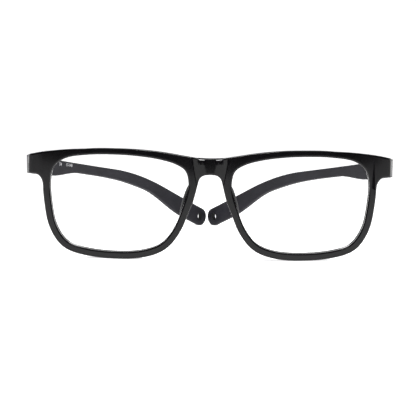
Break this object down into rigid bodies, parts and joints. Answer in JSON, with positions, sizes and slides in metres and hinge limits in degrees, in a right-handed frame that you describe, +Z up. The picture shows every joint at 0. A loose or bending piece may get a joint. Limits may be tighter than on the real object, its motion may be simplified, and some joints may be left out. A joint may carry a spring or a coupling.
{
  "type": "eyeglasses frame",
  "caption": "Full-rim moulded eyeglasses frame with a low bridge, soft pads behind the rims and slim temples that fold on screw hinges and end in holed paddles.",
  "frame": {"origin": "on the surface it stands on, under the middle of the frame as it stands with its temples partly folded", "axes": "+Z up, the front faces -Y, the temples run towards +Y, +X is the wearer's left"},
  "size_m": [0.1474, 0.141, 0.043],
  "materials": {
    "front_black": "polished black moulding",
    "temple_soft_touch": "soft-touch matt",
    "pad_silicone": "matt silicone",
    "hinge_steel": "fine brushed",
    "screw_steel": "bright turned",
    "washer_nylon": "natural nylon",
    "core_steel": "drawn wire"
  },
  "bodies": {
    "front": {"front_frame": "front_black", "left_nose_pad": "pad_silicone", "right_nose_pad": "pad_silicone", "left_front_hinge": "hinge_steel", "right_front_hinge": "hinge_steel", "left_hinge_screw": "screw_steel", "right_hinge_screw": "screw_steel", "left_hinge_washers": "washer_nylon", "right_hinge_washers": "washer_nylon", "left_front_rivets": "screw_steel", "right_front_rivets": "screw_steel"},
    "left_arm": {"left_temple": "temple_soft_touch", "left_temple_core": "core_steel", "left_temple_hinge": "hinge_steel", "left_temple_rivets": "screw_steel"},
    "right_arm": {"right_temple": "temple_soft_touch", "right_temple_core": "core_steel", "right_temple_hinge": "hinge_steel", "right_temple_rivets": "screw_steel"}
  },
  "joints": [
    {"name": "left_temple_fold", "type": "hinge", "parent": "front", "child": "left_arm", "pos_m": [0.068, -0.05001, 0.03545], "axis": [0, 0, 1], "range_deg": [-32.5, 63.4]},
    {"name": "right_temple_fold", "type": "hinge", "parent": "front", "child": "right_arm", "pos_m": [-0.068, -0.05001, 0.03545], "axis": [0, 0, -1], "range_deg": [-32.5, 59.9]}
  ]
}
